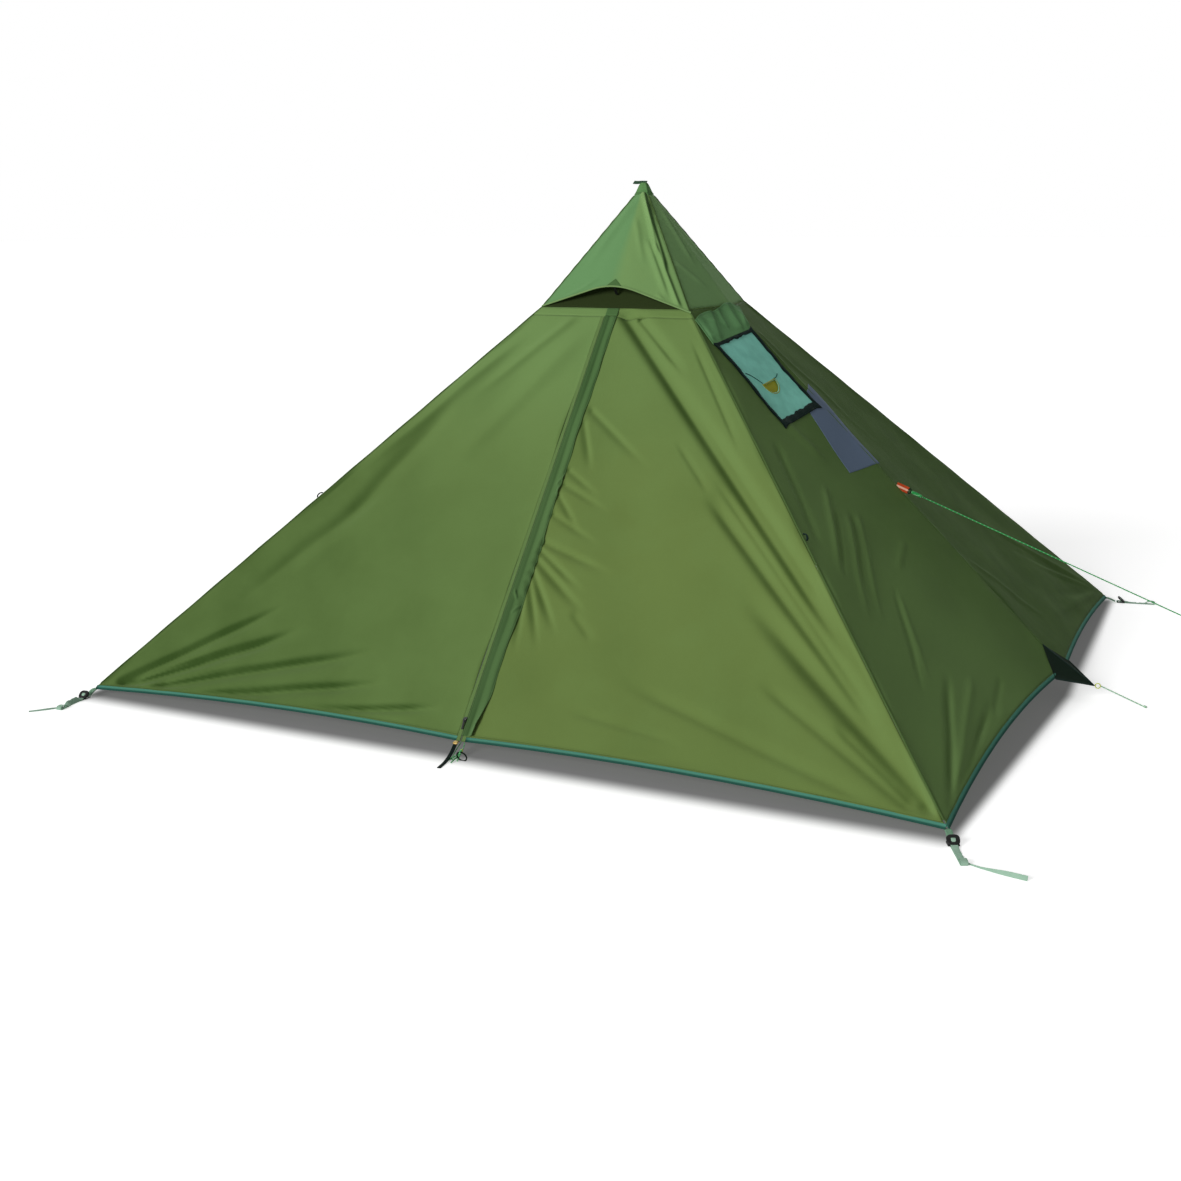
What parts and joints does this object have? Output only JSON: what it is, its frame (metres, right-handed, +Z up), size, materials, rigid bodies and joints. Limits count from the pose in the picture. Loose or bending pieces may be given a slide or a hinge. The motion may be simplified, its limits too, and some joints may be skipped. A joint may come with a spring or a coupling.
{
  "type": "pyramid tent",
  "caption": "Centre-pole pyramid tent with a zipped front, a propped vent hood, a stove jack window, net side gussets and ladder lock corner tensioners.",
  "frame": {"origin": "on the ground under the pole foot", "axes": "+Z up; +X to the right along the front hem; -Y out of the zipped front"},
  "size_m": [3.6462, 3.0434, 1.714],
  "materials": {
    "coated_ripstop": "silicone-coated ripstop nylon, olive green, low sheen",
    "cap_ripstop": "silicone-coated ripstop nylon, lighter green, low sheen",
    "flap_ripstop": "coated nylon, dark green",
    "binding_tape": "woven grosgrain hem binding, teal green",
    "vent_net": "fine knitted nylon net, near black",
    "dark_webbing": "woven nylon webbing, black green",
    "pale_webbing": "woven nylon webbing, pale green",
    "moulded_acetal": "moulded acetal, black",
    "heat_cloth": "coated glass-fibre heat cloth, teal",
    "aramid_cloth": "woven aramid cloth, gold olive",
    "tie_out_webbing": "woven webbing, orange brown",
    "guy_cord": "braided reflective cord, green",
    "ring_plastic": "moulded plastic, yellow green",
    "drawn_aluminium": "drawn aluminium tube, anodised satin",
    "slider_zinc": "die-cast zinc, dark coated",
    "foot_rubber": "moulded rubber, black"
  },
  "bodies": {
    "shelter": {"apex_cup": "dark_webbing", "apex_patch": "flap_ripstop", "cap_front": "cap_ripstop", "cap_left": "cap_ripstop", "cap_rear": "cap_ripstop", "cap_right": "cap_ripstop", "corner_tab_front_left": "dark_webbing", "corner_tab_front_right": "dark_webbing", "corner_tab_rear_left": "dark_webbing", "corner_tab_rear_right": "dark_webbing", "door_header": "coated_ripstop", "gusset_cord": "pale_webbing", "gusset_left": "vent_net", "gusset_right": "vent_net", "gusset_ring": "ring_plastic", "guyline": "guy_cord", "guyline_knot": "guy_cord", "guyline_loop": "guy_cord", "hem_left": "binding_tape", "hem_rear": "binding_tape", "hem_right": "binding_tape", "jack_frame": "dark_webbing", "jack_panel": "heat_cloth", "pole_foot": "foot_rubber", "pole_lower": "drawn_aluminium", "pole_middle": "drawn_aluminium", "pole_tip": "moulded_acetal", "pole_upper": "drawn_aluminium", "rear_panel": "coated_ripstop", "ridge_loop_left": "dark_webbing", "ridge_loop_right": "dark_webbing", "side_left_front": "coated_ripstop", "side_left_rear": "coated_ripstop", "side_right_front": "coated_ripstop", "side_right_rear": "coated_ripstop", "tie_out_left": "tie_out_webbing", "tie_out_right": "tie_out_webbing", "vent_net": "vent_net"},
    "door_left": {"door_left": "coated_ripstop", "hem_front_left": "binding_tape", "zip_tape_left": "flap_ripstop", "door_strap": "dark_webbing"},
    "door_right": {"door_right": "coated_ripstop", "hem_front_right": "binding_tape", "zip_tape_right": "flap_ripstop", "storm_flap": "flap_ripstop", "door_cord": "guy_cord"},
    "slider": {"zip_slider": "slider_zinc"},
    "pull": {"zip_pull": "dark_webbing"},
    "strut": {"hood_strut": "moulded_acetal"},
    "cover": {"rain_cover": "cap_ripstop"},
    "flap": {"port_flap": "aramid_cloth"},
    "tensioner_front_left": {"ladder_lock_front_left": "moulded_acetal", "peg_loop_front_left": "pale_webbing"},
    "tensioner_front_right": {"ladder_lock_front_right": "moulded_acetal", "peg_loop_front_right": "pale_webbing"},
    "tensioner_rear_right": {"ladder_lock_rear_right": "moulded_acetal", "peg_loop_rear_right": "pale_webbing"},
    "tensioner_rear_left": {"ladder_lock_rear_left": "moulded_acetal", "peg_loop_rear_left": "pale_webbing"}
  },
  "joints": [
    {"name": "door_left_fold", "type": "hinge", "parent": "shelter", "child": "door_left", "pos_m": [-0.285, -0.2584, 1.288], "axis": [-0.5861, -0.5314, -0.6117], "range_deg": [0, 150]},
    {"name": "door_right_fold", "type": "hinge", "parent": "shelter", "child": "door_right", "pos_m": [0.285, -0.2584, 1.288], "axis": [-0.5861, 0.5314, 0.6117], "range_deg": [0, 150]},
    {"name": "zip_slide", "type": "slide", "parent": "door_left", "child": "slider", "axis": [0, 0.653, 0.7573], "range_m": [0, 1.4383]},
    {"name": "zip_pull_swing", "type": "hinge", "parent": "slider", "child": "pull", "pos_m": [-0.0288, -1.29808, 0.09401], "axis": [-1, 0, 0], "range_deg": [0, 150]},
    {"name": "strut_fold", "type": "hinge", "parent": "shelter", "child": "strut", "pos_m": [0, -0.23323, 1.33446], "axis": [1, 0, 0], "range_deg": [0, 95]},
    {"name": "rain_cover_fold", "type": "hinge", "parent": "shelter", "child": "cover", "pos_m": [0.41078, -0.15988, 1.19596], "axis": [0.0625, 0.9929, 0.1014], "range_deg": [0, 150]},
    {"name": "port_flap_swing", "type": "hinge", "parent": "shelter", "child": "flap", "pos_m": [0.55081, -0.19118, 1.05115], "axis": [-0.0507, -0.9947, -0.0893], "range_deg": [-100, 0]},
    {"name": "tensioner_front_left_swing", "type": "hinge", "parent": "shelter", "child": "tensioner_front_left", "pos_m": [-1.49561, -1.40177, 0.004], "axis": [-0.9945, -0.1045, 0], "range_deg": [0, 90]},
    {"name": "tensioner_front_right_swing", "type": "hinge", "parent": "shelter", "child": "tensioner_front_right", "pos_m": [1.51841, -1.39775, 0.004], "axis": [-0.8988, -0.4384, 0], "range_deg": [0, 90]},
    {"name": "tensioner_rear_right_swing", "type": "hinge", "parent": "shelter", "child": "tensioner_rear_right", "pos_m": [1.54136, 1.36729, 0.004], "axis": [0.1736, -0.9848, 0], "range_deg": [0, 90]},
    {"name": "tensioner_rear_left_swing", "type": "hinge", "parent": "shelter", "child": "tensioner_rear_left", "pos_m": [-1.54136, 1.36729, 0.004], "axis": [0.1736, 0.9848, 0], "range_deg": [0, 90]}
  ]
}
